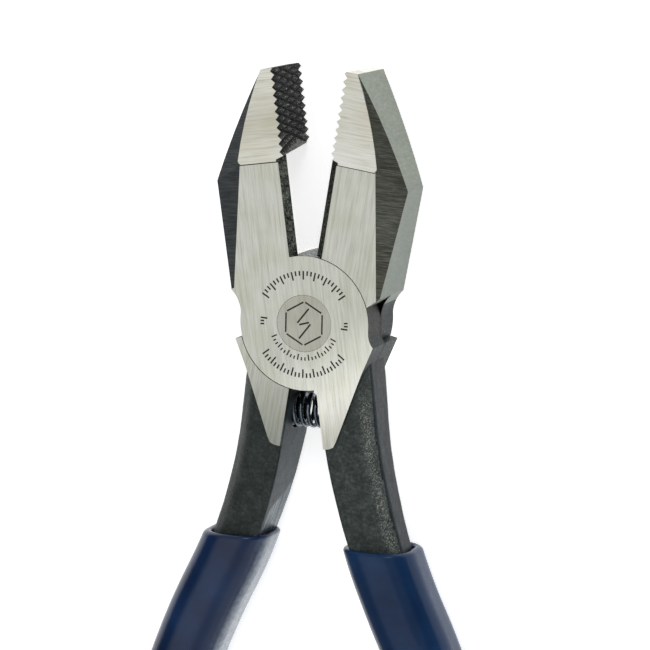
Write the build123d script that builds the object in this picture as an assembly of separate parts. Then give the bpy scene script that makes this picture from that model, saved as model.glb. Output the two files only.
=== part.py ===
from build123d import *
import os
from math import atan, cos, degrees, radians, sin

# Spring-loaded side-cutting pliers, lying flat with the pivot axis upright.
# The two halves are drawn closed about the pivot, then each is turned out to the rest pose.
# Left jaw and right handle are one forging (front half); right jaw and left handle the other.

# ---- driving dimensions, mm and degrees
rest_angle = 8.3          # each half is turned out by this much when the spring has opened them
face_half = 7.65          # half the thickness over the ground faces
pad_rise = 0.25           # gripping nose stands this proud of the ground faces
disc_radius = 13.2        # half-thickness disc of the lap joint
recess_gap = 0.15         # between a disc and the recess it turns in
lap_gap = 0.02            # each disc stands this far off the middle plane
closing_gap = 0.05        # each jaw stops this far off the closing line

tip_height = 49.9         # pivot to jaw tips
shoulder_x = 15.6         # widest point of a jaw, and its height above the pivot
shoulder_y = 29.1
shoulder_half = 4.75      # half thickness left at the shoulder by the two bevels
foot_x = 14.3             # lower outer corner of a jaw
foot_y = 7.9
pad_floor = 31.85         # lower edge of the gripping nose

knurl_floor = 33.6        # lowest groove that starts on the front face edge
knurl_pitch = 1.57        # groove spacing along the jaw
knurl_climb = 2.5         # pitches that a groove climbs on its way to the other face edge
knurl_shift = -0.6        # the right jaw's grooves are offset so that the teeth mesh
knurl_depth = 0.78

throat_top_front = 33.0   # the gripping face ends here at the cutting edge
throat_top_back = 34.4
cutter_bevel_x = 1.4      # width of the front bevel on the cutting edge
cutter_edge_z = 6.4       # the cutting edge lies this far in front of the middle plane
throat_x = 5.5            # the relief behind the edge opens this far at the back

rivet_radius = 4.2
rivet_head_radius = 5.6
rivet_running_gap = 0.04  # radial, in the rear half, which turns on the rivet

heel_x = 13.5             # upper outer corner of the ground plate on each handle
heel_y = 5.9
kink_x = 10.4
kink_y = 11.1
plate_tip_y = 24.95       # the ground plate ends in a rounded tip
plate_inner_x = 0.9

bow_start = (5.8, -22.0)  # the handle's centreline leaves the plate here, straight down
bow_turn = 18.0           # it swings out by this angle, then back in by as much
bow_radius = {"right": 130.0, "left": 110.0}
return_radius = 150.0
end_radius = 900.0        # the last stretch is nearly straight
centreline_run = 181.5    # whole length of the centreline
core_stop = 0.965         # the forging ends at this share of the centreline

spring_y = 18.6           # seat height below the pivot, drawn closed
spring_outer = 7.0
spring_wire = 0.95
spring_turns = 9
seat_gap = 0.2            # round the spring, and at each end of it
seat_depth = 4.0

grip_start = 0.16         # share of the centreline where the uncut sleeve starts
grip_width = {"right": 13.9, "left": 13.4}
grip_height = 14.8
grip_corner = 5.4
grip_mouth_y = {"right": -44.3, "left": -43.4}   # level cut of each mouth in the rest pose
big = 60.0


gap_at_spring = 2 * (plate_inner_x * cos(radians(rest_angle)) + spring_y * sin(radians(rest_angle)))
spring_length = gap_at_spring + 2 * (seat_depth - seat_gap)
spring_level = -spring_y * cos(radians(rest_angle)) + plate_inner_x * sin(radians(rest_angle))


# ---- helpers
def slab(edges, low, high):
    """Solid between two heights over a closed outline drawn on the middle plane."""
    return extrude(Pos(0, 0, low) * make_face(edges), high - low)


def polygon_slab(points, low, high):
    return slab(Polyline(*points, close=True), low, high)


def cut_beyond(solid, towards, point_a, point_b, point_c):
    """Removes what lies on one side of the plane through three points."""
    normal = (Vector(*point_b) - Vector(*point_a)).cross(Vector(*point_c) - Vector(*point_a))
    if normal.dot(Vector(*towards)) < 0:
        normal = normal * -1
    plane = Plane(origin=point_a, z_dir=normal)
    return solid - plane * Pos(0, 0, big / 2) * Box(2 * big, 2 * big, big)


def flip(solid):
    """Half turn about the jaw axis: front becomes back and left becomes right."""
    return solid.rotate(Axis.Y, 180)


# ---- head
def jaw_blank():
    """Left jaw at full thickness, with its bevels and its proud nose on both faces."""
    tip = (-2.75, tip_height - 0.05)
    belly = (-9.55, 39.75)
    shoulder = (-shoulder_x, shoulder_y)
    lower_outline = [
        shoulder,
        (-foot_x, foot_y),
        (-11.9, 5.6),
        (-6.0, 7.0),
        (-closing_gap, 11.5),
        (-closing_gap, tip_height - 0.5),
        (-0.45, tip_height),
        tip,
    ]
    outline = [Polyline(*lower_outline), ThreePointArc(tip, belly, shoulder)]
    jaw = slab(outline, -face_half, face_half)
    face_top = (*tip, face_half)
    face_bend = (-9.4, 31.8, face_half)
    face_foot = (-13.7, 7.4, face_half)
    shoulder_edge = (*shoulder, shoulder_half)
    for _ in ("front", "back"):
        jaw = cut_beyond(jaw, (0, 0, 1), face_top, face_bend, shoulder_edge)
        jaw = cut_beyond(jaw, (0, 0, 1), face_bend, face_foot, shoulder_edge)
        jaw = mirror(jaw, Plane.XY)
    return jaw + nose_pad()


def nose_pad():
    corner = 0.9
    side = ThreePointArc((-2.75, tip_height - 0.05), (-6.75, 41.3), (-9.6, pad_floor + corner))
    edges = [
        Polyline((-9.6 + corner * 0.8, pad_floor), (-1.35, pad_floor), (-closing_gap, pad_floor + 0.65),
                 (-closing_gap, tip_height - 0.5), (-0.45, tip_height), (-2.75, tip_height - 0.05)),
        side,
        ThreePointArc((-9.6, pad_floor + corner), (-9.4, pad_floor + 0.25),
                      (-9.6 + corner * 0.8, pad_floor)),
    ]
    top = face_half + pad_rise
    return slab(edges, -top, top)


def cutter_space():
    """What is ground away at the side cutter of the left jaw: front bevel, edge and back relief."""
    reach = face_half + 1.0
    bevel_slope = cutter_bevel_x / (face_half - cutter_edge_z)
    relief_slope = throat_x / (face_half + cutter_edge_z)
    section = Polyline(
        (2.0, reach),
        (-closing_gap - bevel_slope * (reach - cutter_edge_z), reach),
        (-closing_gap, cutter_edge_z),
        (-closing_gap - relief_slope * (reach + cutter_edge_z), -reach),
        (2.0, -reach),
        close=True,
    )
    upright = Plane(origin=(0, 6.0, 0), x_dir=(1, 0, 0), z_dir=(0, -1, 0))
    prism = extrude(upright * make_face(section), -big)
    throat_front = (0, throat_top_front, cutter_edge_z)
    throat_back = (0, throat_top_back, -face_half)
    throat_side = (-1.0, throat_top_front - 0.35, cutter_edge_z)
    return cut_beyond(prism, (0, 1, 0), throat_front, throat_back, throat_side)


def knurl_grooves(shift):
    """Two families of V grooves across the gripping face; each starts on its own face edge.
    They start half a pitch apart and climb two and a half, so on both edges they fall in step."""
    half = face_half + pad_rise
    lean = knurl_climb * knurl_pitch / (2 * half)
    spacing = knurl_pitch * cos(atan(lean))
    first = knurl_floor + shift
    grooves = []
    for side, floor in ((1, first), (-1, first + knurl_pitch / 2)):
        count = int((tip_height - floor) / knurl_pitch) + 1
        for number in range(count):
            start_y = floor + number * knurl_pitch
            start = Vector(-closing_gap, start_y - lean * 0.5, side * (half + 0.5))
            along = Vector(0, lean, -side).normalized()
            plane = Plane(origin=start, x_dir=(1, 0, 0), z_dir=along)
            notch = Polyline((0.3, -spacing * 0.73), (0.3, spacing * 0.73), (-knurl_depth, 0), close=True)
            grooves.append(extrude(plane * make_face(notch), (2 * half + 1.0) / cos(atan(lean))))
    return grooves


# ---- joint and handle
def joint_disc():
    """Front half-thickness disc, with the hollows that run it into the jaw and the heel."""
    disc = Pos(0, 0, (lap_gap + face_half) / 2) * Cylinder(disc_radius, face_half - lap_gap)
    jaw_hollow = [
        ThreePointArc((-foot_x, foot_y), (-13.05, 5.6), (-13.07, 1.8)),
        Polyline((-13.07, 1.8), (-9.0, 2.0), (-9.0, 9.0), (-foot_x, foot_y)),
    ]
    heel_hollow = [
        ThreePointArc((heel_x, -heel_y), (12.95, -4.6), (12.9, -2.8)),
        Polyline((12.9, -2.8), (9.0, -2.5), (9.0, -9.0), (heel_x, -heel_y)),
    ]
    for hollow in (jaw_hollow, heel_hollow):
        disc += slab(hollow, lap_gap, face_half)
    return disc


def ground_plate():
    """Tapered plate from the joint down the handle, ground flush with the joint on both faces."""
    tip_x = 3.75
    edges = [
        Polyline((tip_x, -23.6), (kink_x, -kink_y), (heel_x, -heel_y), (12.0, -5.3), (8.0, -3.5),
                 (plate_inner_x, -7.0), (plate_inner_x, -plate_tip_y), (tip_x - 1.6, -plate_tip_y)),
        ThreePointArc((tip_x - 1.6, -plate_tip_y), (tip_x - 0.55, -24.7), (tip_x, -23.6)),
    ]
    return slab(edges, -face_half, face_half)


def centreline(side):
    """Middle of a handle, drawn as the right one; the two forgings are bent a little differently."""
    start = Vector(*bow_start)
    top = Vector(start.X, -7.0)
    lead = Line(top, start)
    outward = JernArc(start, (0, -1), bow_radius[side], bow_turn)
    inward = JernArc(outward @ 1, outward % 1, return_radius, -bow_turn)
    rest = centreline_run - lead.length - outward.length - inward.length
    ending = JernArc(inward @ 1, inward % 1, end_radius, -degrees(rest / end_radius))
    return Wire([lead, outward, inward, ending])


def handle_section(place, along, width, inner_half, outer_half, rounding):
    """Section across the handle: flat inner wall, crowned front and back, narrower outer face."""
    across = Vector(-along.Y, along.X, 0)
    plane = Plane(origin=place, x_dir=across, z_dir=along)
    crown = 0.90 * inner_half + 0.10 * outer_half
    points = [
        (-width / 2, -inner_half), (0.05 * width, -crown), (width / 2, -outer_half),
        (width / 2, outer_half), (0.05 * width, crown), (-width / 2, inner_half),
    ]
    outline = make_face(Polyline(*points, close=True))
    outline = fillet(outline.vertices(), rounding)
    return plane * outline


# share of the centreline, width, half height inside, half height outside
handle_stations = [
    (0.00, 11.7, 7.0, 4.6),
    (0.045, 11.2, 7.0, 4.2),
    (0.10, 10.5, 7.0, 3.6),
    (0.155, 10.4, 6.1, 3.3),
    (0.215, 9.9, 5.5, 3.1),
    (0.30, 9.4, 5.2, 3.0),
]


def handle_core(side):
    """Shaped above the grip, then one steady section inside it."""
    path = centreline(side)
    sections = []
    for share, width, inner_half, outer_half in handle_stations:
        sections.append(handle_section(path @ share, path % share, width, inner_half, outer_half, 1.1))
    hidden = sweep(sections[-1], path.trim(handle_stations[-1][0], core_stop))
    return loft(sections) + hidden


def grip_sleeve(core, side):
    """Dipped grip: a thick skin over the lower handle, closed and rounded at the end."""
    path = centreline(side).trim(grip_start, 1.0)
    across = Vector(-(path % 0).Y, (path % 0).X, 0)
    section = Plane(origin=path @ 0, x_dir=across, z_dir=path % 0)
    section = section * RectangleRounded(grip_width[side], grip_height, grip_corner)
    sleeve = sweep(section, path)
    end_edges = sleeve.faces().sort_by(Axis.Y)[0].edges()
    return fillet(end_edges, grip_corner - 0.4) - core


def lap_recess():
    """Room for the other half's disc, up to just past the middle plane."""
    return Pos(0, 0, lap_gap - big / 2) * Cylinder(disc_radius + recess_gap, big)


def plain_handle(core):
    """Handle with its ground plate, its spring seat and the recess for the other disc."""
    return core + ground_plate() - lap_recess() - spring_seat()


def rivet():
    chamfer_height = rivet_head_radius - rivet_radius
    shaft = Cylinder(rivet_radius, 2 * face_half)
    for side in (1, -1):
        head = Cone(rivet_radius, rivet_head_radius, chamfer_height)
        head = Pos(0, 0, face_half - chamfer_height / 2) * head
        shaft += head if side > 0 else head.rotate(Axis.X, 180)
    return shaft


def rivet_hole(gap):
    """Countersunk from the front face down through the front disc."""
    chamfer_height = rivet_head_radius - rivet_radius
    hole = Cylinder(rivet_radius + gap, 2 * face_half + 2)
    sink = Cone(rivet_radius + gap, rivet_head_radius + gap, chamfer_height)
    return hole + Pos(0, 0, face_half - chamfer_height / 2) * sink


def return_spring(length):
    pitch = (length - spring_wire) / spring_turns
    mean_radius = (spring_outer - spring_wire) / 2
    line = Helix(pitch, length - spring_wire, mean_radius)
    section = Plane(origin=line @ 0, z_dir=line % 0) * Circle(spring_wire / 2)
    coil = sweep(section, line, is_frenet=True)
    coil = Pos(0, 0, -(length - spring_wire) / 2) * coil
    return coil.rotate(Axis.Y, 90)


def spring_seat():
    """Blind hole in the inner wall of the plate, bored along the spring as it lies at rest."""
    hole_end = spring_length / 2 + seat_gap
    hole = Cylinder(spring_outer / 2 + seat_gap, hole_end).rotate(Axis.Y, 90)
    hole = Pos(hole_end / 2, spring_level, 0) * hole
    return hole.rotate(Axis.Z, -rest_angle)


def below_mouth(side):
    return Pos(0, grip_mouth_y[side] - big * 2, 0) * Box(big * 4, big * 4, big)


# ---- assembly, drawn about the middle plane
jaw = jaw_blank() - lap_recess()
left_jaw = jaw - cutter_space()
for groove in knurl_grooves(0):
    left_jaw -= groove
right_jaw = flip(jaw) - mirror(cutter_space(), Plane.YZ)
for groove in knurl_grooves(knurl_shift):
    right_jaw -= mirror(groove, Plane.YZ)

right_core = handle_core("right")
left_core = handle_core("left")
front_half = left_jaw + joint_disc() + plain_handle(right_core) - rivet_hole(0)
rear_half = right_jaw + flip(joint_disc()) + flip(plain_handle(left_core))
rear_half -= flip(rivet_hole(rivet_running_gap))
right_grip = grip_sleeve(right_core, "right")
left_grip = flip(grip_sleeve(left_core, "left"))

nodes = {
    "front_half": front_half.rotate(Axis.Z, rest_angle),
    "rear_half": rear_half.rotate(Axis.Z, -rest_angle),
    "right_grip": right_grip.rotate(Axis.Z, rest_angle) & below_mouth("right"),
    "left_grip": left_grip.rotate(Axis.Z, -rest_angle) & below_mouth("left"),
    "pivot_rivet": rivet(),
    "return_spring": Pos(0, spring_level, 0) * return_spring(spring_length),
}

lift = Pos(0, 0, face_half)
os.makedirs("parts", exist_ok=True)
for name, solid in nodes.items():
    export_step(lift * solid, f"parts/{name}.step")
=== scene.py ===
from math import asin, atan2, cos, pi, radians, sin

import bmesh
import bpy
from mathutils import Matrix, Vector, noise


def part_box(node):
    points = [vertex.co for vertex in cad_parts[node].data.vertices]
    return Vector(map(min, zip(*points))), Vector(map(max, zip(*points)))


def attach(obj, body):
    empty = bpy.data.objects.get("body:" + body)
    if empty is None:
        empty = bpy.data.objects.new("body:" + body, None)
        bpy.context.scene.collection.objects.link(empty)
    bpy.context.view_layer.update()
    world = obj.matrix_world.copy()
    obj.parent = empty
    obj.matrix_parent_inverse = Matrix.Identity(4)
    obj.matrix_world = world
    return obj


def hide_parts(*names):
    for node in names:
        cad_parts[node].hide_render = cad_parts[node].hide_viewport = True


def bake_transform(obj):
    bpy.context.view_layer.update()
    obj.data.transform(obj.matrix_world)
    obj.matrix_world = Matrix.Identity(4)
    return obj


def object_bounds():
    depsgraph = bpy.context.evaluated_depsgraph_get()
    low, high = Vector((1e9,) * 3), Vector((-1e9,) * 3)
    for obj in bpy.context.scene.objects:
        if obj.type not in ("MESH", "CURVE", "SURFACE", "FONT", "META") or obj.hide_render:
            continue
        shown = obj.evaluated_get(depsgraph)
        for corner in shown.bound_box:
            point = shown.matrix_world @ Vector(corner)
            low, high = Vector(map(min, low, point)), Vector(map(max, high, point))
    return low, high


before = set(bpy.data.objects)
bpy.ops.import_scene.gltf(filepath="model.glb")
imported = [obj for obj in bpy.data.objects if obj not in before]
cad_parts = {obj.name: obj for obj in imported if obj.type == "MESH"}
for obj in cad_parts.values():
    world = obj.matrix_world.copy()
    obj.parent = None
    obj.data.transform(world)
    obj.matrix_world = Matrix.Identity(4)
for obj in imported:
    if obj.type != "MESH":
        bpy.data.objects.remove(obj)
cad_low, cad_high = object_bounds()

# Spring-loaded side-cutting pliers. Everything is in metres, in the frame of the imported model.
# Each half is described as if closed and lying on its middle plane, with its jaw to the left of
# the closing line and its handle to the right; place_half() then puts either half where it rests.
MM = 0.001
pivot_low, pivot_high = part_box("pivot_rivet")
pivot = (pivot_low + pivot_high) / 2
face_half = (pivot_high.z - pivot_low.z) / 2
rest_angle = radians(8.3)

disc_radius = 13.2 * MM
recess_radius = 13.35 * MM
lap_gap = 0.02 * MM
throat_y = 33.0 * MM
pad_floor_y = 31.85 * MM
plate_outline = [(0.9, -6.0), (0.9, -24.95), (2.15, -24.95), (3.05, -24.65), (3.75, -23.6),
                 (10.4, -11.1), (13.5, -5.9)]                     # mm, below the disc
spring_low, spring_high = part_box("return_spring")
seat_gap = 0.2 * MM
merge_distance = 0.001 * MM


def place_half(side):
    """Matrix from the drawn half to the row frame. The rear half is the mirror image."""
    turn = rest_angle if side == "front" else -rest_angle
    mirrored = 1 if side == "front" else -1
    mirror = Matrix.Diagonal((mirrored, 1, 1, 1))
    return Matrix.Translation(pivot) @ Matrix.Rotation(turn, 4, "Z") @ mirror


# ---------------------------------------------------------------- mesh helpers
def new_piece(name, body, slot, *nodes):
    """Empty piece of one body, or of none when no body is given."""
    mesh = bpy.data.meshes.new(name)
    piece = bpy.data.objects.new(name, mesh)
    bpy.context.scene.collection.objects.link(piece)
    if body:
        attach(piece, body)
    if nodes:
        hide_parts(*nodes)
    return piece


def rounded_outline(corners, count):
    """Closed outline through corners (x, y, radius), as evenly spaced points."""
    path = []
    steps = 10
    for number, (x, y, radius) in enumerate(corners):
        here = Vector((x, y))
        before = Vector(corners[number - 1][:2])
        after = Vector(corners[(number + 1) % len(corners)][:2])
        to_before = (before - here).normalized()
        to_after = (after - here).normalized()
        half = to_before.angle(to_after) / 2
        back = radius / (sin(half) / cos(half))
        middle = here + (to_before + to_after).normalized() * (radius / sin(half))
        first = here + to_before * back - middle
        last = here + to_after * back - middle
        sweep = atan2(first.x * last.y - first.y * last.x, first.dot(last))
        for step in range(steps + 1):
            angle = sweep * step / steps
            path.append(middle + Vector((first.x * cos(angle) - first.y * sin(angle),
                                         first.x * sin(angle) + first.y * cos(angle))))
    lengths = [0.0]
    for number in range(len(path)):
        lengths.append(lengths[-1] + (path[(number + 1) % len(path)] - path[number]).length)
    points = []
    segment = 0
    for number in range(count):
        wanted = lengths[-1] * number / count
        while lengths[segment + 1] < wanted:
            segment += 1
        share = (wanted - lengths[segment]) / max(lengths[segment + 1] - lengths[segment], 1e-12)
        points.append(path[segment].lerp(path[(segment + 1) % len(path)], share))
    return points


def bridge_rings(bm, rings):
    """Quads between rings of equal length."""
    for lower, upper in zip(rings, rings[1:]):
        for number in range(len(lower)):
            after = (number + 1) % len(lower)
            bm.faces.new((lower[number], lower[after], upper[after], upper[number]))


def circle(radius, count):
    """Points (x, y) evenly round a circle."""
    angles = [2 * pi * number / count for number in range(count)]
    return [(radius * cos(angle), radius * sin(angle)) for angle in angles]


def finish_mesh(piece, bm, matrix=None, smooth_angle=35.0):
    """Writes the mesh out, placed and smooth except at edges sharper than the angle, in degrees."""
    if matrix is not None:
        bmesh.ops.transform(bm, matrix=matrix, verts=bm.verts)
    bmesh.ops.recalc_face_normals(bm, faces=bm.faces)
    for face in bm.faces:
        face.smooth = True
    for edge in bm.edges:
        edge.smooth = len(edge.link_faces) != 2 or edge.calc_face_angle(0) < radians(smooth_angle)
    bm.to_mesh(piece.data)
    bm.free()
    piece.data.update()


def add_prism(bm, points, low, high):
    """Adds the closed prism over an outline, between two levels."""
    bottom = [bm.verts.new((x, y, low)) for x, y in points]
    top = [bm.verts.new((x, y, high)) for x, y in points]
    bm.faces.new(bottom)
    bm.faces.new(top)
    bridge_rings(bm, (bottom, top))


def prism(points, low, high):
    """The same prism as a mesh of its own."""
    bm = bmesh.new()
    add_prism(bm, points, low, high)
    bmesh.ops.recalc_face_normals(bm, faces=bm.faces)
    return bm


def boolean(piece, tool_bm, operation, material=None):
    """Applies one exact boolean with a temporary tool, whose material the cut faces take."""
    mesh = bpy.data.meshes.new("tool")
    tool_bm.to_mesh(mesh)
    tool_bm.free()
    if material is not None:
        mesh.materials.append(material)
    tool = bpy.data.objects.new("tool", mesh)
    bpy.context.scene.collection.objects.link(tool)
    modifier = piece.modifiers.new("cut", "BOOLEAN")
    modifier.operation = operation
    modifier.solver = "EXACT"
    modifier.object = tool
    if material is not None:
        modifier.material_mode = "TRANSFER"
    bpy.context.view_layer.update()
    evaluated = piece.evaluated_get(bpy.context.evaluated_depsgraph_get())
    result = bpy.data.meshes.new_from_object(evaluated)
    piece.modifiers.clear()
    old = piece.data
    piece.data = result
    result.name = piece.name
    bpy.data.meshes.remove(old)
    bpy.data.objects.remove(tool)
    bpy.data.meshes.remove(mesh)


# ---------------------------------------------------------------- node helpers
def shader(name):
    """New material, with its tree and its Principled node."""
    material = bpy.data.materials.new(name)
    material.use_nodes = True
    tree = material.node_tree
    return material, tree, tree.nodes["Principled BSDF"]


def node(tree, kind, **settings):
    """New node; each setting is one of its inputs, or else a property."""
    made = tree.nodes.new(kind)
    for key, value in settings.items():
        if key in made.inputs:
            made.inputs[key].default_value = value
        else:
            setattr(made, key, value)
    return made


def object_space(tree, scale, turn=0.0):
    """Object coordinates in millimetres, turned about Z, then stretched."""
    coordinates = node(tree, "ShaderNodeTexCoord")
    turned = node(tree, "ShaderNodeMapping")
    turned.inputs["Rotation"].default_value = (0, 0, turn)
    turned.inputs["Scale"].default_value = (1 / MM, 1 / MM, 1 / MM)
    stretched = node(tree, "ShaderNodeMapping")
    stretched.inputs["Scale"].default_value = scale
    tree.links.new(coordinates.outputs["Object"], turned.inputs["Vector"])
    tree.links.new(turned.outputs["Vector"], stretched.inputs["Vector"])
    return stretched.outputs["Vector"]


def noise_value(tree, vector, scale, detail=3.0, roughness=0.55):
    made = node(tree, "ShaderNodeTexNoise", Scale=scale, Detail=detail, Roughness=roughness)
    tree.links.new(vector, made.inputs["Vector"])
    return made.outputs["Fac"]


def ramp(tree, value, stops):
    made = node(tree, "ShaderNodeValToRGB")
    tree.links.new(value, made.inputs["Fac"])
    elements = made.color_ramp.elements
    while len(elements) < len(stops):
        elements.new(0.5)
    for element, (position, colour) in zip(elements, stops):
        element.position = position
        element.color = (*colour, 1.0)
    return made.outputs["Color"]


def mixed(tree, factor, first, second, blend="MIX"):
    made = node(tree, "ShaderNodeMix", data_type="RGBA", blend_type=blend)
    if isinstance(factor, float):
        made.inputs[0].default_value = factor
    else:
        tree.links.new(factor, made.inputs[0])
    tree.links.new(first, made.inputs[6])
    tree.links.new(second, made.inputs[7])
    return made.outputs[2]


def math_node(tree, operation, first, second=0.5):
    made = node(tree, "ShaderNodeMath", operation=operation)
    for socket, value in ((0, first), (1, second)):
        if isinstance(value, float):
            made.inputs[socket].default_value = value
        else:
            tree.links.new(value, made.inputs[socket])
    return made.outputs[0]


def plus(tree, first, second, share):
    """first + second x share."""
    return math_node(tree, "ADD", first, math_node(tree, "MULTIPLY", second, share))


def spread(tree, value, low, high, to_low, to_high):
    """Value mapped from one range to another, and held at its ends."""
    made = node(tree, "ShaderNodeMapRange")
    tree.links.new(value, made.inputs["Value"])
    ends = {"From Min": low, "From Max": high, "To Min": to_low, "To Max": to_high}
    for key, number in ends.items():
        made.inputs[key].default_value = number
    return made.outputs["Result"]


def add_bump(tree, bsdf, height, strength, distance):
    bump = node(tree, "ShaderNodeBump", Strength=strength, Distance=distance)
    tree.links.new(height, bump.inputs["Height"])
    tree.links.new(bump.outputs["Normal"], bsdf.inputs["Normal"])


def srgb(text):
    """Linear colour from a six-digit hex string."""
    values = [int(text[n:n + 2], 16) / 255 for n in (0, 2, 4)]
    return tuple(v / 12.92 if v <= 0.04045 else ((v + 0.055) / 1.055) ** 2.4 for v in values)


def shades(text):
    """Linear colours from six-digit hex strings with spaces between."""
    return tuple(srgb(word) for word in text.split())


def grey(value):
    return (value, value, value)


# ---------------------------------------------------------------- materials
def ground_steel(name, turn, along, colours, tint, rough, lines=0.12, bump=0.25, pitch=1.0,
                 painted_light=None):
    """Ground metal: fine streaks along one direction, with a broad uneven tint. A painted_light is painted
    light and shade: a direction in the row frame, the two distances along it in mm where it starts and
    ends, and the tints that lighten or darken the colour along it."""
    material, tree, bsdf = shader(name)
    fine_scale = (9.0 * pitch, 0.22, 1.5) if along == "y" else (0.22, 9.0 * pitch, 1.5)
    wide_scale = (2.2 * pitch, 0.10, 0.6) if along == "y" else (0.12, 2.4 * pitch, 0.6)
    cloud_scale = (0.13, 0.13, 0.13)
    fine = noise_value(tree, object_space(tree, fine_scale, turn), 1.0, 4.0, 0.7)
    wide = noise_value(tree, object_space(tree, wide_scale, turn), 1.0, 3.0, 0.5)
    cloud = noise_value(tree, object_space(tree, cloud_scale, turn), 1.0, 2.0)
    streak = plus(tree, math_node(tree, "MULTIPLY", fine, 0.5), wide, 0.5)
    base = ramp(tree, streak, list(zip((0.34, 0.50, 0.66), colours)))
    base = mixed(tree, 1.0, base, ramp(tree, cloud, [(0.35, tint), (0.65, grey(1.0))]), "MULTIPLY")
    # Painted light and shade: the colour is lightened or darkened along one direction.
    if painted_light:
        direction, first, last, light_tints = painted_light
        dot = node(tree, "ShaderNodeVectorMath", operation="DOT_PRODUCT")
        tree.links.new(object_space(tree, (1.0, 1.0, 1.0)), dot.inputs[0])
        dot.inputs[1].default_value = Vector(direction).normalized()
        share = spread(tree, dot.outputs["Value"], first, last, 0.0, 1.0)
        base = mixed(tree, 1.0, base, ramp(tree, share, light_tints), "MULTIPLY")
    tree.links.new(base, bsdf.inputs["Base Color"])
    roughness = spread(tree, streak, 0.3, 0.7, rough - lines, rough + lines)
    tree.links.new(roughness, bsdf.inputs["Roughness"])
    bsdf.inputs["Metallic"].default_value = 1.0
    add_bump(tree, bsdf, streak, bump, 0.04 * MM)
    return material


def forged_black(name, colours, rough, speckle=0.0, metallic=0.55, bump=0.5, grain=1.6, depth=0.12,
                 level=0.5, soft=0.12, wear_and_glint=None, lines=None, turn=0.0, seam_shade=False):
    """Scaled forging skin: pitted and mottled, with specks of painted glint. Painted glints, with a faint
    haze of wear, where the attribute named by wear_and_glint is high. Where the one named by lines is high
    the skin is smooth and scratched lengthwise instead. A seam_shade is painted shade along the middle
    plane, where the two laps meet."""
    material, tree, bsdf = shader(name)
    space = object_space(tree, (1.0, 1.0, 1.0))
    mottle = noise_value(tree, space, 0.35, 4.0, 0.6)
    pits = noise_value(tree, space, grain, 6.0, 0.65)
    sparks = noise_value(tree, space, 3.4, 3.0, 0.7)
    blotch = plus(tree, math_node(tree, "MULTIPLY", mottle, 0.4), pits, 0.6)
    base = ramp(tree, blotch, list(zip((0.5 - soft, 0.5, 0.5 + soft), colours)))
    # Painted glints: bright specks added to the colour stand in for highlights.
    if speckle > 0:
        bright = ramp(tree, sparks, [(0.64 - speckle, grey(0.0)), (0.74, srgb("a8a69c"))])
        base = mixed(tree, 1.0, base, bright, "ADD")
    # Painted glints, with a faint haze of wear, where the attribute is high.
    if wear_and_glint:
        wear_and_glint_share = node(tree, "ShaderNodeAttribute", attribute_name=wear_and_glint).outputs["Fac"]
        reach = plus(tree, sparks, wear_and_glint_share, 0.17)
        glints = ramp(tree, reach, [(0.68, grey(0.0)), (0.82, srgb("9c9a90"))])
        haze = math_node(tree, "MULTIPLY", wear_and_glint_share, spread(tree, pits, 0.38, 0.64, 0.0, 0.012))
        base = mixed(tree, 1.0, mixed(tree, 1.0, base, glints, "ADD"), haze, "ADD")
    if lines:
        smooth = node(tree, "ShaderNodeAttribute", attribute_name=lines).outputs["Fac"]
        scratches = noise_value(tree, object_space(tree, (0.4, 0.10, 2.2), turn), 1.0, 4.0, 0.7)
        bare = ramp(tree, scratches, list(zip((0.38, 0.50, 0.64), shades("30393d 6c777c aab2b3"))))
        base = mixed(tree, smooth, base, bare)
    # Painted shade: darker along the middle plane, where the two laps meet.
    if seam_shade:
        apart = node(tree, "ShaderNodeSeparateXYZ")
        tree.links.new(space, apart.inputs["Vector"])
        from_middle = math_node(tree, "SUBTRACT", apart.outputs["Z"], pivot.z / MM)
        from_middle = plus(tree, math_node(tree, "ABSOLUTE", from_middle), pits, 0.6)
        clear = spread(tree, from_middle, 0.7, 1.6, 0.0, 1.0)
        base = mixed(tree, 1.0, base, ramp(tree, clear, [(0.0, grey(0.04)), (1.0, grey(1.0))]), "MULTIPLY")
    tree.links.new(base, bsdf.inputs["Base Color"])
    tree.links.new(spread(tree, pits, 0.3, 0.7, rough - 0.08, rough + 0.14), bsdf.inputs["Roughness"])
    bsdf.inputs["Metallic"].default_value = metallic
    bsdf.inputs["Specular IOR Level"].default_value = level
    add_bump(tree, bsdf, plus(tree, pits, sparks, 0.25), bump, depth * MM)
    return material


def grip_vinyl(name, level, blues):
    """Glossy dipped plastic, with soft ripples and a faint mottle. Where the scuff_and_sheen attribute is
    high it is scuffed and paler, which also paints in a sheen of reflected light."""
    material, tree, bsdf = shader(name)
    space = object_space(tree, (1.0, 1.0, 1.0))
    cloud = noise_value(tree, space, 0.12, 3.0, 0.5)
    fine = noise_value(tree, space, 0.9, 3.0, 0.6)
    scuffs = noise_value(tree, space, 0.8, 5.0, 0.6)
    base = ramp(tree, cloud, list(zip((0.3, 0.55, 0.75), blues)))
    scuff_and_sheen = node(tree, "ShaderNodeAttribute", attribute_name="scuff_and_sheen").outputs["Fac"]
    base = mixed(tree, scuff_and_sheen, base, ramp(tree, scuffs, list(zip((0.35, 0.65), shades("94a0ac c6ced4")))))
    tree.links.new(base, bsdf.inputs["Base Color"])
    tree.links.new(spread(tree, fine, 0.3, 0.7, 0.16, 0.24), bsdf.inputs["Roughness"])
    bsdf.inputs["Specular IOR Level"].default_value = level
    add_bump(tree, bsdf, plus(tree, cloud, fine, 0.03), 0.25, 0.6 * MM)
    return material


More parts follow.
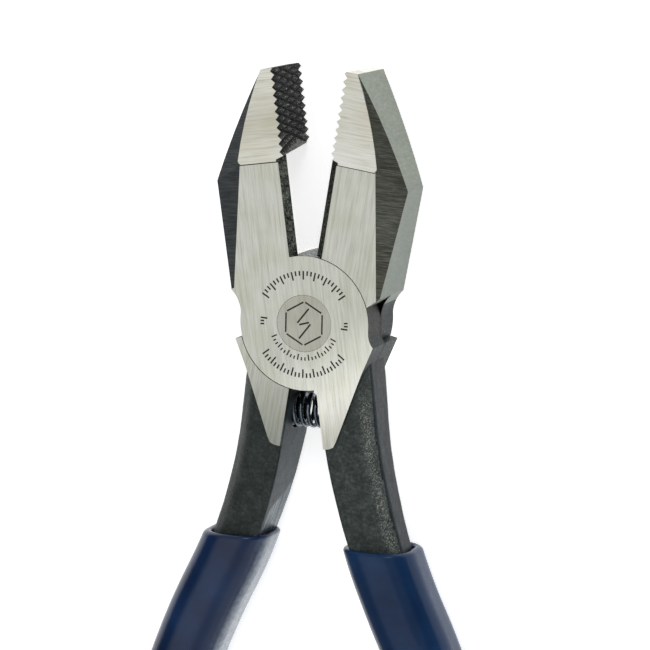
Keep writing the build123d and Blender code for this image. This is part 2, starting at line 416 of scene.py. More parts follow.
def etched():
    """Laser-darkened marking. It also fills the painted shadow line under the nose pads."""
    material, tree, bsdf = shader("etched_mark_and_pad_shadow")
    burn = noise_value(tree, object_space(tree, (1.0, 1.0, 1.0)), 2.5, 4.0, 0.7)
    base = ramp(tree, burn, list(zip((0.3, 0.7), shades("211c17 3d352c"))))
    tree.links.new(base, bsdf.inputs["Base Color"])
    tree.links.new(spread(tree, burn, 0.3, 0.7, 0.5, 0.7), bsdf.inputs["Roughness"])
    bsdf.inputs["Metallic"].default_value = 0.1
    add_bump(tree, bsdf, burn, 0.3, 0.05 * MM)
    return material


def floor_paper():
    """White paper, lit through from below as on a light table."""
    material, tree, bsdf = shader("pale_floor")
    cloud = noise_value(tree, object_space(tree, (0.02, 0.02, 0.02)), 1.0, 3.0)
    shade = ramp(tree, cloud, [(0.3, grey(0.90)), (0.7, grey(0.93))])
    tree.links.new(shade, bsdf.inputs["Base Color"])
    bsdf.inputs["Roughness"].default_value = 0.9
    bsdf.inputs["Specular IOR Level"].default_value = 0.1
    bsdf.inputs["Emission Color"].default_value = (1, 1, 1, 1)
    bsdf.inputs["Emission Strength"].default_value = 0.72
    return material


def half_materials(side):
    """Finishes of one half; the streaks follow the way that half lies. The face, nose and facet carry
    painted light and shade, set apart for each half.
    """
    turn = -rest_angle if side == "front" else rest_angle
    face = shades("b0b1a6 d2d2c8 ecebe2")
    nose = shades("bbb8aa e3e1d5 f8f6ed")
    facet = shades("6c7069 858a82 9ea39b")
    if side == "front":
        # Painted reflection and shade: the front face gets a bright band, the rear face darkens towards the
        # handle, the nose lightens and darkens along the jaw, and the facet darkens towards its lower end.
        face_light_stops = [(0.0, grey(1.03)), (0.34, grey(1.28)), (0.58, (1.58, 1.55, 1.56)),
                      (0.95, (1.02, 1.01, 1.02))]
        face_painted_light = ((0.5, -0.87, 0.0), 4.0, 24.0, face_light_stops)
        nose_light_stops = [(0.0, (1.04, 1.05, 1.06)), (0.38, (0.84, 0.83, 0.78)), (1.0, (1.13, 1.14, 1.17))]
        bevel, bevel_tint = shades("4b4f51 626667 7d8182"), (0.92, 0.93, 0.94)
    else:
        face_painted_light = ((0.0, -1.0, 0.0), 6.0, 25.0, [(0.0, grey(1.0)), (1.0, (0.50, 0.52, 0.52))])
        nose_light_stops = [(0.0, (1.06, 1.07, 1.09)), (0.5, grey(0.98)), (1.0, (1.00, 1.01, 1.02))]
        bevel, bevel_tint = shades("43453f 66685f 96978d"), (0.88, 0.88, 0.83)
    nose_painted_light = ((0.0, 1.0, 0.0), 33.0, 48.0, nose_light_stops)
    facet_painted_shade = ((0.0, 1.0, 0.0), 26.5, 29.0, [(0.0, (0.82, 0.83, 0.83)), (1.0, (0.95, 0.94, 0.90))])
    return {
        "face": ground_steel("ground_face_" + side, turn, "y", face, (0.92, 0.92, 0.87), 0.34,
                             painted_light=face_painted_light),
        "nose": ground_steel("ground_nose_" + side, turn, "x", nose, (0.93, 0.91, 0.85), 0.36, lines=0.10,
                             painted_light=nose_painted_light),
        "bevel": ground_steel("ground_bevel_" + side, turn, "x", bevel, bevel_tint, 0.42, lines=0.06,
                              bump=0.2, pitch=2.0),
        "facet": ground_steel("outer_facet_" + side, turn, "x", facet, (0.86, 0.92, 0.87), 0.42,
                              bump=0.3, painted_light=facet_painted_shade),
        "knife": forged_black("knife_edge_" + side, shades("181b18 3f453f 767c71"), 0.30, speckle=0.15,
                              metallic=0.8, bump=0.9, depth=0.2, soft=0.10),
        "knurl": forged_black("knurl_teeth_" + side, shades("040606 0d1112 252b2d"), 0.32, speckle=0.06,
                              metallic=0.0, level=0.05, bump=0.5, grain=2.4, depth=0.12, soft=0.10,
                              wear_and_glint="tooth_crest"),
        "skin": forged_black("forged_skin_" + side, shades("141a1c 21292b 333d3f"), 0.42, metallic=0.5,
                             level=0.15, bump=0.6, seam_shade=True),
        "hollow": forged_black("disc_wall_" + side, shades("1a1c19 252823 31342e"), 0.45, metallic=0.5,
                               level=0.2, bump=0.35, seam_shade=True),
        "rough": forged_black("rough_lap_" + side, shades("020303 24292b 98a1a2"), 0.25, metallic=0.3,
                              level=0.25, bump=1.0, grain=1.3, depth=0.6, soft=0.07),
    }


ZONES = ("face", "nose", "bevel", "facet", "knife", "knurl", "skin", "hollow", "rough")


def zone_of(side, centre, normal):
    """Which finish a face of the drawn half gets. The jaw is on the -x side. All in mm."""
    x, y, z = (value / MM for value in centre)
    half = face_half / MM
    disc = disc_radius / MM
    reach = Vector((x, y)).length
    flat = abs(normal.z) > 0.985
    on_face = abs(z) > half - 0.05
    pad_foot = 31.0 < y < 32.6
    above_disc = y > 6.0
    if flat and abs(abs(z) - half) < 0.06:
        return "face"
    if on_face and pad_foot and normal.y < -0.55:
        return "skin"         # painted shade: the foot of the nose pad gets the dark skin finish
    if abs(normal.z) > 0.7 and abs(z) > half + 0.06 and y > 31.0:
        return "nose"
    if on_face and pad_foot and normal.y < -0.1:
        return "nose"
    if y > 49.0 and normal.y > 0.7:
        return "nose" if side == "rear" and x < -0.9 else "knurl"
    if y > 32.0 and x > -1.4 and abs(z) <= half + 0.24 and not flat:
        return "knurl"
    if above_disc and x < -2.7:
        if 0.2 < abs(normal.z) < 0.985 and normal.x < 0:
            return "bevel"
        if abs(normal.z) <= 0.2 and normal.x < -0.5:
            return "facet"
    if above_disc and normal.x > 0.3 and x > -7.0:
        return "knife"
    if abs(x) < 7.0 and 5.0 < y < 14.0 and normal.y > 0.3:
        return "rough"
    if not flat and abs(reach - disc) < 0.35 and abs(z) > half - 0.15:
        return "knurl"        # the dark line round the disc
    if z > 0 and 12.0 < reach < disc + 0.3 and abs(normal.z) < 0.3:
        return "hollow"
    return "skin"


# ---------------------------------------------------------------- head of each half
def head_region():
    """Outline of everything but the handle: the jaw and disc, then the plate, a hair inside its
    walls."""
    inset = 0.01
    plate = [(x + (inset if x < 2 else -inset), y + inset) for x, y in plate_outline[1:]]
    side, beyond, handle_top = 30.0, 60.0, -5.0
    outside = [(13.6, handle_top), (side, handle_top), (side, beyond), (-side, beyond), (-side, -2.0)]
    radius = disc_radius / MM + 0.05
    first = pi + asin(2.0 / radius)
    last = 3 * pi / 2 + asin((plate_outline[0][0] + inset) / radius)
    steps = 40
    angles = [first + (last - first) * number / steps for number in range(steps + 1)]
    around_disc = [(radius * cos(angle), radius * sin(angle)) for angle in angles]
    return [(x * MM, y * MM) for x, y in [*plate, *outside, *around_disc]]


def bevel_edges(bm, turn_to_half):
    """Breaks every sharp edge outside the knurl; the foot of each nose pad is rounded more."""
    groups = {"small": [], "pad": []}
    sharp, shortest = radians(22), 0.35 * MM
    knurl_x, knurl_y = -1.1 * MM, throat_y - 0.6 * MM
    pad_level, pad_foot = face_half + 0.1 * MM, pad_floor_y + 1.2 * MM
    for edge in bm.edges:
        if len(edge.link_faces) != 2 or edge.calc_face_angle(0) < sharp or edge.calc_length() < shortest:
            continue
        ends = [turn_to_half @ v.co for v in edge.verts]
        if all(end.x > knurl_x and end.y > knurl_y for end in ends):
            continue
        on_pad = all(abs(end.z) > pad_level and end.y < pad_foot for end in ends)
        groups["pad" if on_pad else "small"].append(edge)
    for name, offset, segments in (("pad", 0.22, 4), ("small", 0.10, 2)):
        edges = [edge for edge in groups[name] if edge.is_valid]
        bmesh.ops.bevel(bm, geom=edges, offset=offset * MM, segments=segments, profile=0.5, affect="EDGES",
                        clamp_overlap=True, material=-1)


def pad_shadow_line(side):
    """Tool for a shallow groove along the foot of both nose pads; filled with the dark etched finish, it is
    a painted shadow line.
    """
    width, depth = 0.18 * MM, 0.06 * MM
    low, high = pad_floor_y - width, pad_floor_y
    outer, inner = -9.35 * MM, -1.3 * MM
    corners = [(outer, low), (inner, low), (inner, high), (outer, high)]
    lines = bmesh.new()
    for face in (1, -1):
        levels = sorted((face * (face_half - depth), face * (face_half + 4 * depth)))
        add_prism(lines, corners, *levels)
    bmesh.ops.transform(lines, matrix=place_half(side), verts=lines.verts)
    bmesh.ops.recalc_face_normals(lines, faces=lines.faces)
    return lines


smooth_area = 1.0 * MM * MM    # larger faces are ground flat, and only the broken edges are round


def build_head(side, materials):
    """The CAD half without its handle, with broken edges and a finish for each zone."""
    node_name, body = side + "_half", side + "_lever"
    piece = new_piece(side + "_head", body, "forged_steel", node_name)
    piece.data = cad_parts[node_name].data.copy()
    piece.data.name = piece.name
    piece.data.materials.clear()
    half_region = 20 * MM
    region = prism(head_region(), -half_region, half_region)
    bmesh.ops.transform(region, matrix=place_half(side), verts=region.verts)
    bmesh.ops.recalc_face_normals(region, faces=region.faces)
    bm = bmesh.new()
    bm.from_mesh(piece.data)
    bmesh.ops.remove_doubles(bm, verts=bm.verts, dist=merge_distance / 10)
    bm.to_mesh(piece.data)
    bm.free()
    boolean(piece, region, "INTERSECT")
    bm = bmesh.new()
    bm.from_mesh(piece.data)
    bmesh.ops.remove_doubles(bm, verts=bm.verts, dist=merge_distance)
    bmesh.ops.dissolve_limit(bm, angle_limit=radians(0.5), verts=bm.verts, edges=bm.edges)
    to_half = place_half(side).inverted()
    bevel_edges(bm, to_half)
    # Painted highlight: the knurl's tooth tips get glints through this height, read by the knurl finish.
    crest = bm.verts.layers.float.new("tooth_crest")
    crest_foot, crest_rise = -0.38, 0.22
    for vert in bm.verts:
        height = (to_half @ vert.co).x / MM - crest_foot
        vert[crest] = min(max(height, 0.0) / crest_rise, 1.5)
    normal_turn = to_half.to_3x3()
    for face in bm.faces:
        zone = zone_of(side, to_half @ face.calc_center_median(), normal_turn @ face.normal)
        face.material_index = ZONES.index(zone)
    finish_mesh(piece, bm, smooth_angle=30)
    for polygon in piece.data.polygons:
        polygon.use_smooth = polygon.area < smooth_area
    for zone in ZONES:
        piece.data.materials.append(materials[zone])
    return piece


# ---------------------------------------------------------------- handles
bow = {"front": 130.0 * MM, "rear": 110.0 * MM}
run_total = 181.5 * MM
path_start = Vector((5.8 * MM, -7.0 * MM))


def handle_point(side, run):
    """Place and direction on a handle's centreline, by the length run from its top."""
    place = path_start.copy()
    heading = -pi / 2
    turn = radians(18.0)
    stretches = [(15.0 * MM, 0.0), (bow[side] * turn, turn), (150.0 * MM * turn, -turn)]
    rest = run_total - sum(length for length, _ in stretches)
    stretches.append((rest, -rest / (900.0 * MM)))
    for length, bend in stretches:
        part = min(run, length)
        angle = bend * part / length
        if bend:
            radius = length / bend
            place = place + Vector((sin(heading + angle) - sin(heading),
                                    cos(heading) - cos(heading + angle))) * radius
        else:
            place = place + Vector((cos(heading), sin(heading))) * part
        heading += angle
        run -= part
        if run <= 0:
            break
    return place, heading


# Share of the run, width, and half-thickness at the inner and at the outer side, all in mm.
stations = [(0.00, 11.7, 7.0, 4.6), (0.045, 11.2, 7.0, 4.2), (0.10, 10.5, 7.0, 3.6),
            (0.155, 10.4, 6.1, 3.3), (0.215, 9.9, 5.5, 3.1), (0.30, 9.4, 5.2, 3.0), (1.0, 9.4, 5.2, 3.0)]


def between(share, column):
    """Value of one column of the stations at a share of the run, on straight lines between rows."""
    for before, after in zip(stations, stations[1:]):
        if share <= after[0]:
            t = (share - before[0]) / (after[0] - before[0])
            return before[column] + (after[column] - before[column]) * t
    return stations[-1][column]


def eased(share, column):
    """The stations' value averaged over a short stretch, so that no station shows as a kink."""
    offsets = (-0.024, -0.016, -0.008, 0.0, 0.008, 0.016, 0.024)
    return sum(between(max(share + offset, 0.0), column) for offset in offsets) / len(offsets)


wall_front = 0.86 * MM    # beside the ground plate, the inner wall starts flush with the plate's edge
ridge_place = 0.24        # share of the width, outward from the middle
slope_middle = 0.36       # the worn slope between the ridge and the outer wall
slope_reach = 0.15
slope_rounding = {"front": (2.2 * MM, 1.7 * MM), "rear": (3.8 * MM, 2.8 * MM)}
handle_lean = radians(26.0)


def handle_outline(side, share, grow, count):
    """Section of a handle: leaning inner wall on the left, flat front and back, rounded slope outside."""
    soft, hard = slope_rounding[side]
    width, inner, outer = (eased(share, column) * MM + grow for column in (1, 2, 3))
    ridge = 0.90 * inner + 0.10 * outer
    lean = max(wall_front - (path_start.x - width / 2), 0.15 * MM)
    corners = [(lean - width / 2, inner, 0.45 * MM), (-width / 2, -inner, 0.7 * MM),
               (ridge_place * width, -ridge, soft), (width / 2, -outer, hard),
               (width / 2, outer, hard), (ridge_place * width, ridge, soft)]
    return rounded_outline(corners, count)


def forged_ring(bm, side, run, outline, rough):
    """One ring of vertices across the handle's path, pushed in by forging noise."""
    place, heading = handle_point(side, run)
    across = Vector((-sin(heading), cos(heading)))
    verts = []
    for point in outline:
        flat = place + across * point.x
        spot = Vector((flat.x, flat.y, point.y))
        depth = 0.5 + 0.5 * noise.fractal(spot * 450, 0.9, 2.1, 4)
        inward = Vector((-across.x * point.x, -across.y * point.x, -point.y))
        spot += inward.normalized() * rough * min(max(depth, 0.0), 1.0)
        verts.append(bm.verts.new(spot))
    return verts


def across_handle(side, spot):
    """Run along the handle and offset from its centreline of a point of the drawn half."""
    run = max(path_start.y - spot.y, 0.0)
    for _ in range(3):
        place, heading = handle_point(side, run)
        ahead = Vector((cos(heading), sin(heading)))
        run = max(run + (Vector((spot.x, spot.y)) - place).dot(ahead), 0.0)
    place, heading = handle_point(side, run)
    return run, (Vector((spot.x, spot.y)) - place).dot(Vector((-sin(heading), cos(heading))))


def share_of(value, start, length):
    """How far a value is past the start, as a share of the length, from 0 to 1."""
    return min(max((value - start) / length, 0.0), 1.0)


def mark_wear_and_glint(side, bm):
    """Stores how rubbed each point is: the ridge most of all, then a ground flat low on the inner wall. The
    ridge's share also drives painted glints, strong on the front handle and weak on the rear one, which
    gets less light."""
    ridge = bm.verts.layers.float.new("ridge_wear_and_glint")
    ground = bm.verts.layers.float.new("ground_flat")
    ridge_most = 1.0 if side == "front" else 0.2
    ridge_start, ridge_fade, edge_level = 3 * MM, 8 * MM, 2 * MM
    flat_start, flat_slant, flat_fade = 29 * MM, 0.5, 1 * MM
    flat_side, flat_top = -0.40, 4.2 * MM
    for vert in bm.verts:
        run, offset = across_handle(side, vert.co)
        width = eased(run / run_total, 1) * MM
        off_ridge = abs(offset / width - slope_middle) / slope_reach
        most = ridge_most if abs(vert.co.z) > edge_level else 0.0
        vert[ridge] = most * share_of(run, ridge_start, ridge_fade) * max(0.0, 1.0 - off_ridge ** 2)
        on_flat = offset < flat_side * width and vert.co.z < flat_top
        low = share_of(run, flat_start + vert.co.z * flat_slant, flat_fade)
        vert[ground] = low if on_flat else 0.0


handle_end = 0.965 * run_total    # the steel ends a little inside the grip


def build_handle(side, materials):
    """Forged handle as one loft, finely divided where it shows and plainly inside the grip."""
    piece = new_piece(side + "_handle", side + "_lever", "forged_steel", side + "_half")
    bm = bmesh.new()
    count = 128
    visible, fine_step, plain_step = 52.0 * MM, 0.4 * MM, 3 * MM
    grow, rough = 0.06 * MM, 0.07 * MM
    runs = [fine_step * number for number in range(int(visible / fine_step) + 1)]
    while runs[-1] < handle_end - plain_step:
        runs.append(runs[-1] + plain_step)
    rings = [forged_ring(bm, side, run, handle_outline(side, run / run_total, grow, count), rough)
             for run in runs]
    bridge_rings(bm, rings)
    bm.faces.new(rings[0])
    bm.faces.new(rings[-1])
    finish_mesh(piece, bm)
    for tool in (disc_room(), spring_seat(side)):
        boolean(piece, tool, "DIFFERENCE")
    bm = bmesh.new()
    bm.from_mesh(piece.data)
    mark_wear_and_glint(side, bm)
    for face in bm.faces:
        if face.normal.x < -0.75:
            face.material_index = 1      # inner wall
        elif face.normal.x > 0.80:
            face.material_index = 2      # outer wall
    finish_mesh(piece, bm, place_half(side), 32)
    for material in materials:
        piece.data.materials.append(material)


def disc_room():
    """Where the other half's disc turns. It is behind the middle plane of the drawn front half."""
    return prism(circle(recess_radius, 96), -20 * MM, lap_gap)


def spring_seat(side):
    """Blind hole bored along the spring as it lies at rest, from the middle outward."""
    radius = (spring_high.z - spring_low.z) / 2 + seat_gap
    middle = (spring_low + spring_high) / 2
    outward = 1 if side == "front" else -1
    reach = (spring_high.x - spring_low.x) / 2 + seat_gap
    bm = bmesh.new()
    ends = [[bm.verts.new((middle.x + x, middle.y + y, middle.z + z)) for y, z in circle(radius, 64)]
            for x in (0.0, outward * reach)]
    bridge_rings(bm, ends)
    for end in ends:
        bm.faces.new(end)
    bmesh.ops.transform(bm, matrix=place_half(side).inverted(), verts=bm.verts)
    bmesh.ops.recalc_face_normals(bm, faces=bm.faces)
    return bm


# ---------------------------------------------------------------- grips
grip_width = {"front": 13.9 * MM, "rear": 13.4 * MM}
grip_height = 14.8 * MM
grip_corner = 5.4 * MM
grip_names = {"front": "right_grip", "rear": "left_grip"}
lip_radius = 0.80 * MM
cup_depth = 5.0 * MM


def by_angle(outline, count):
    """The same outline, resampled at even angles about its middle."""
    polar = sorted((atan2(p.y, p.x), p.length) for p in outline)
    angles = [p[0] for p in polar]
    points = []
    for number in range(count):
        angle = -pi + 2 * pi * number / count
        after = 0
        while after < len(angles) and angles[after] < angle:
            after += 1
        before = polar[after - 1]
        beyond = polar[after % len(polar)]
        gap = (beyond[0] - before[0]) % (2 * pi)
        share = ((angle - before[0]) % (2 * pi)) / max(gap, 1e-9)
        radius = before[1] + (beyond[1] - before[1]) * share
        points.append(Vector((radius * cos(angle), radius * sin(angle))))
    return points


def grip_outline(side, inset, count):
    half_w = grip_width[side] / 2 - inset
    half_h = grip_height / 2 - inset
    corner = max(min(grip_corner - inset, half_w * 0.98, half_h * 0.98), 0.4 * MM)
    corners = [(-half_w, half_h, corner), (-half_w, -half_h, corner),
               (half_w, -half_h, corner), (half_w, half_h, corner)]
    return by_angle(rounded_outline(corners, 4 * count), count)


def mouth_run(side, offset, level):
    """Run at which a line this far off the centreline meets the level mouth."""
    matrix = place_half(side)
    near, far = 10 * MM, 90 * MM
    for _ in range(40):
        middle = (near + far) / 2
        place, heading = handle_point(side, middle)
        spot = matrix @ Vector((place.x - sin(heading) * offset, place.y + cos(heading) * offset, 0))
        if spot.y > level:
            near = middle
        else:
            far = middle
    return near


def build_grip(side, material):
    """A dipped sleeve with a rolled lip round an open mouth, closed and rounded at the far end."""
    piece = new_piece(grip_names[side] + "_sleeve", side + "_lever", "dipped_grip", grip_names[side])
    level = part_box(grip_names[side])[1].y
    count = 96
    inside_steps, cup_steps, curl_steps, body_steps = 25, 6, 8, 60
    ripple_scale, ripple_height = 90, 0.10 * MM
    end_radius = grip_corner - 0.4 * MM
    body_end = run_total - end_radius
    bottom = handle_end + 1.0 * MM
    bm = bmesh.new()
    core = by_angle(handle_outline(side, 0.35, 0.02 * MM, 4 * count), count)
    outer = grip_outline(side, 0, count)
    middle_run = mouth_run(side, 0, level)

    def ring(outline, run_of):
        """Ring of vertices; run_of gives the run at each offset from the centreline."""
        verts = []
        for point in outline:
            place, heading = handle_point(side, run_of(point.x))
            across = Vector((-sin(heading), cos(heading)))
            flat = place + across * point.x
            spot = Vector((flat.x, flat.y, point.y))
            outward = Vector((across.x * point.x, across.y * point.x, point.y)).normalized()
            ripple = noise.noise(spot * ripple_scale) * ripple_height
            verts.append(bm.verts.new(spot + outward * ripple))
        return verts

    def below_mouth(down):
        return lambda x: mouth_run(side, x, level) + down

    rings = []
    for number in range(inside_steps + 1):        # from the end of the handle up to the cup
        share = number / inside_steps
        run = bottom + (middle_run + cup_depth + 3 * MM - bottom) * share
        rings.append(ring(core, lambda x, run=run: run))
    for number in range(cup_steps + 1):           # the cup opens from the handle's skin to the lip
        share = number / cup_steps
        wall = grip_outline(side, 2 * lip_radius, count)
        outline = [a.lerp(b, sin(share * pi / 2)) for a, b in zip(core, wall)]
        rings.append(ring(outline, below_mouth(cup_depth * (1 - share) + lip_radius)))
    for number in range(1, curl_steps + 1):       # the rolled lip
        angle = pi * number / curl_steps
        outline = grip_outline(side, lip_radius * (1 + cos(angle)), count)
        rings.append(ring(outline, below_mouth(lip_radius * (1 - sin(angle)))))
    for number in range(1, body_steps + 1):       # the body, square to the path after a fifth of it
        share = number / body_steps
        slant = 1 - min(1.0, share * 5)
        run = middle_run + lip_radius + (body_end - middle_run - lip_radius) * share

        def slanted(x, run=run, slant=slant):
            return run + (mouth_run(side, x, level) - middle_run) * slant

        rings.append(ring(outer, slanted))
    for number in range(1, curl_steps + 1):       # the rounded end
        angle = pi / 2 * number / curl_steps
        outline = grip_outline(side, end_radius * (1 - cos(angle)), count)
        rings.append(ring(outline, lambda x, angle=angle: body_end + end_radius * sin(angle)))
    bridge_rings(bm, rings)
    bm.faces.new(rings[0])
    bm.faces.new(rings[-1])
    bmesh.ops.recalc_face_normals(bm, faces=bm.faces)
    bm.normal_update()
    scuff_and_sheen = bm.verts.layers.float.new("scuff_and_sheen")
    most = 0.8 if side == "rear" else 0.0
    for vert in bm.verts:                         # the inward side is scuffed, and paler as a painted sheen of the floor's reflection
        vert[scuff_and_sheen] = most * share_of(-vert.normal.x, 0.62, 0.38) ** 2
    finish_mesh(piece, bm, place_half(side), 60)
    piece.data.materials.append(material)


# ---------------------------------------------------------------- rivet and spring
def build_rivet(material):
    """Riveted pin, ground flush: a straight shank between two countersunk heads."""
    piece = new_piece("riveted_pin", "front_lever", "rivet_steel", "pivot_rivet")
    head, shank, edge = 5.6 * MM, 4.2 * MM, 0.07 * MM
    half = face_half
    lower = [(0.0, -half), (head - edge, -half), (head, -half + edge), (shank, -half + head - shank)]
    profile = lower + [(radius, -height) for radius, height in reversed(lower)]
    bm = bmesh.new()
    rings = [[bm.verts.new((x, y, height)) for x, y in circle(radius, 96)]
             for radius, height in profile[1:-1]]
    bridge_rings(bm, rings)
    bm.faces.new(rings[0])
    bm.faces.new(rings[-1])
    finish_mesh(piece, bm, Matrix.Translation(pivot), 30)
    piece.data.materials.append(material)
    return piece


def build_spring(material):
    """Compression spring of round wire, with its ends in their seats."""
    piece = new_piece("coil_spring", None, "spring_steel", "return_spring")
    centre = (spring_low + spring_high) / 2
    wire = 0.475 * MM
    coil = (spring_high.z - spring_low.z) / 2 - wire
    span = spring_high.x - spring_low.x - 2 * wire
    turns, around, sides = 9, 32, 14
    total = turns * around
    bm = bmesh.new()
    rings = []
    for number in range(total + 1):
        angle = 2 * pi * number / around
        radial = Vector((0, cos(angle), sin(angle)))
        ahead = Vector((span / turns, -2 * pi * coil * sin(angle), 2 * pi * coil * cos(angle)))
        side = ahead.normalized().cross(radial)
        spot = centre + radial * coil + Vector((span * (number / total - 0.5), 0, 0))
        rings.append([bm.verts.new(spot + radial * x + side * y) for x, y in circle(wire, sides)])
    bridge_rings(bm, rings)
    bm.faces.new(rings[0])
    bm.faces.new(rings[-1])
    finish_mesh(piece, bm, None, 60)
    piece.data.materials.append(material)
    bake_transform(piece)


# ---------------------------------------------------------------- marking
def marking():
    """Tool for shallow laser marks about the pivot: plain graduations, and a bolt in a hexagon."""
    bm = bmesh.new()
    top, bottom = face_half + 0.5 * MM, face_half - 0.05 * MM
    wide, narrow, heavy = 0.32, 0.28, 0.34

    def bar(start, end, width):
        start, end = Vector(start) * MM, Vector(end) * MM
        along = (end - start).normalized()
        side = Vector((-along.y, along.x)) * width * MM / 2
        add_prism(bm, [start - side, end - side, end + side, start + side], bottom, top)

    def graduations(first, last, count, inner, outer, width):
        """Strokes from one angle to another; only every third has the full length."""
        for number in range(count):
            angle = radians(first + (last - first) * number / (count - 1))
            short = 0.45 * (outer - inner) if number % 3 else 0.0
            bar(((inner + short) * cos(angle), (inner + short) * sin(angle)),
                (outer * cos(angle), outer * sin(angle)), width)

    graduations(148, 36, 25, 8.6, 10.3, wide)
    graduations(218, 322, 25, 9.0, 10.7, wide)
    graduations(205, 335, 22, 6.1, 7.3, narrow)
    graduations(176, 184, 3, 7.6, 9.0, wide)
    graduations(-4, 4, 3, 7.6, 9.0, wide)
    hexagon_radius, corner_gap = 4.3, 0.05
    angles = [radians(60 * number + 30) for number in range(6)]
    corners = [Vector((hexagon_radius * cos(angle), hexagon_radius * sin(angle))) for angle in angles]
    for start, end in zip(corners, corners[1:] + corners[:1]):
        bar(start.lerp(end, corner_gap), start.lerp(end, 1 - corner_gap), wide)
    bolt = [((0.95, 3.0), (-1.35, 0.05)), ((-0.95, -0.28), (1.05, 0.28)), ((1.35, -0.05), (-0.95, -3.0))]
    for start, end in bolt:
        bar(start, end, heavy)
    bmesh.ops.recalc_face_normals(bm, faces=bm.faces)
    bmesh.ops.translate(bm, verts=bm.verts, vec=pivot)
    return bm


# ---------------------------------------------------------------- the pieces
def handle_materials(side, oxide, outer):
    """Front and back of one handle, its inner wall, and its outer wall."""
    lean = -handle_lean if side == "front" else handle_lean
    return (
        forged_black("black_oxide_" + side, shades(oxide), 0.42, metallic=0.0, bump=0.9, level=0.35,
                     depth=0.2, wear_and_glint="ridge_wear_and_glint"),
        forged_black("blued_wall_" + side, shades("273033 343f43 414d52"), 0.38, metallic=0.5,
                     level=0.15, bump=0.3, lines="ground_flat", turn=lean),
        forged_black("outer_wall_" + side, shades(outer), 0.40, metallic=0.3, level=0.15, bump=0.4),
    )


etch_and_pad_shadow = etched()
front_head = build_head("front", half_materials("front"))
rear_head = build_head("rear", half_materials("rear"))
# Painted shadow: a dark line cut under the foot of each nose pad.
for side, head in (("front", front_head), ("rear", rear_head)):
    boolean(head, pad_shadow_line(side), "DIFFERENCE", etch_and_pad_shadow)
# Painted shade: the rear handle's oxide and outer wall are darker copies of the front handle's.
build_handle("front", handle_materials("front", "212826 38403d 535b56", "151a1d 20262a 2e363b"))
build_handle("rear", handle_materials("rear", "1a201e 2b3330 3f4743", "0f1314 1a1f21 262c2e"))
build_grip("front", grip_vinyl("dipped_vinyl_right", 0.24, shades("0d294c 133156 1c3b63")))
build_grip("rear", grip_vinyl("dipped_vinyl_left", 0.40, shades("092145 0d2a51 14325c")))
pin = build_rivet(ground_steel("rivet_face", -rest_angle, "y", shades("a9a89c c4c3b8 d6d5cb"),
                               (0.90, 0.88, 0.83), 0.36))
build_spring(forged_black("spring_wire", shades("474f53 69737a 8f999e"), 0.16, metallic=0.95,
                          bump=0.12, grain=4.0))
for marked in (front_head, pin):
    boolean(marked, marking(), "DIFFERENCE", etch_and_pad_shadow)


# ---------------------------------------------------------------- studio
def add_floor():
    bm = bmesh.new()
    reach = 1.5
    level = cad_low.z - 0.05 * MM
    corners = ((-reach, -reach), (reach, -reach), (reach, reach), (-reach, reach))
    bm.faces.new([bm.verts.new((x, y, level)) for x, y in corners])
    mesh = bpy.data.meshes.new("floor")
    bm.to_mesh(mesh)
    bm.free()
    floor = bpy.data.objects.new("floor", mesh)
    bpy.context.scene.collection.objects.link(floor)
    mesh.materials.append(floor_paper())


def add_light(name, direction, distance, size, power):
    """Square area light that faces the pivot."""
    light = bpy.data.lights.new(name, "AREA")
    light.size = size
    light.energy = power
    holder = bpy.data.objects.new(name, light)
    bpy.context.scene.collection.objects.link(holder)
    towards = Vector(direction).normalized()
    holder.location = pivot + towards * distance
    holder.rotation_mode = "QUATERNION"
    holder.rotation_quaternion = towards.to_track_quat("Z", "Y")


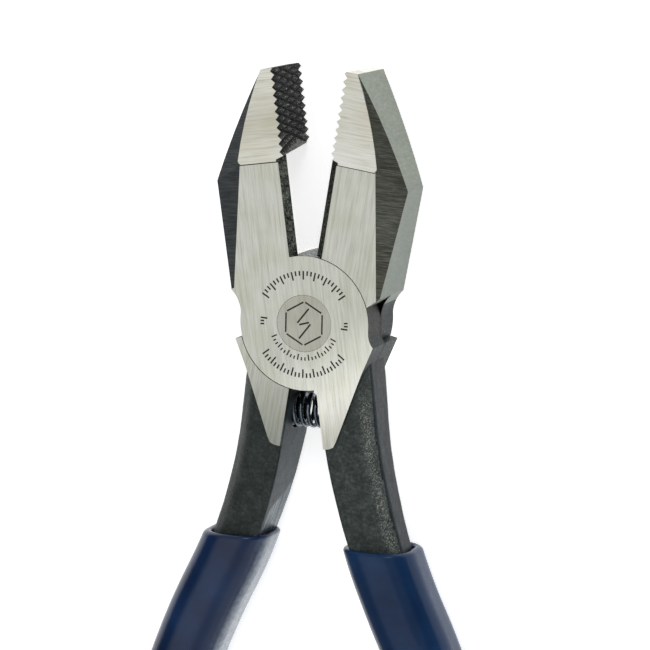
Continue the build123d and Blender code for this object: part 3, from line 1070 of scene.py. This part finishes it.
def add_camera():
    """Level with the photographed view: a little from the right and from beyond the jaws."""
    right_turn, tip_turn, roll = radians(19.31), radians(8.70), radians(1.25)
    distance = 0.700
    away = Vector((sin(right_turn) * cos(tip_turn), sin(tip_turn), cos(right_turn) * cos(tip_turn)))
    right = Vector((cos(right_turn), 0, -sin(right_turn)))
    up = away.cross(right)
    x_axis = cos(roll) * right + sin(roll) * up
    y_axis = -sin(roll) * right + cos(roll) * up
    aim_right, aim_up = 1.545 * MM, -1.312 * MM
    aim = pivot + aim_right * x_axis + aim_up * y_axis
    place = Matrix((x_axis, y_axis, away)).transposed().to_4x4()
    place.translation = aim + distance * away
    data = bpy.data.cameras.new("camera")
    data.lens = 197.7
    data.sensor_width = 36
    data.clip_start = 0.01
    camera = bpy.data.objects.new("camera", data)
    bpy.context.scene.collection.objects.link(camera)
    camera.matrix_world = place
    bpy.context.scene.camera = camera


def add_world():
    """A white tent, with bright panels where the ground faces mirror them and dark flags for the
    bevels."""
    world = bpy.data.worlds.new("studio")
    bpy.context.scene.world = world
    world.use_nodes = True
    tree = world.node_tree
    background = tree.nodes["Background"]
    coordinates = node(tree, "ShaderNodeTexCoord")
    # Direction, cosine where the panel fades in and where it is full, and what it adds.
    panels = [((-0.33, -0.15, 0.93), 0.90, 0.97, 0.31), ((0.51, 0.05, 0.86), 0.82, 0.97, -0.16),
              ((-0.93, 0.0, 0.36), 0.70, 0.95, -0.52), ((0.86, 0.36, 0.36), 0.78, 0.95, -0.45),
              ((0.73, -0.61, 0.25), 0.80, 0.95, 0.35), ((0.25, 0.63, 0.74), 0.980, 0.990, 4.0)]
    total = None
    for direction, edge, core, amount in panels:
        dot = node(tree, "ShaderNodeVectorMath", operation="DOT_PRODUCT")
        tree.links.new(coordinates.outputs["Generated"], dot.inputs[0])
        dot.inputs[1].default_value = Vector(direction).normalized()
        part = spread(tree, dot.outputs["Value"], edge, core, 0.0, amount)
        total = math_node(tree, "ADD", part, 0.62) if total is None else math_node(tree, "ADD", total, part)
    tree.links.new(total, background.inputs["Strength"])
    background.inputs["Color"].default_value = (0.97, 0.985, 1.0, 1)


add_floor()
add_world()
add_light("soft_key", (-0.33, -0.15, 0.93), 0.55, 0.35, 0.03)
add_camera()
bpy.context.scene.view_settings.view_transform = "Standard"
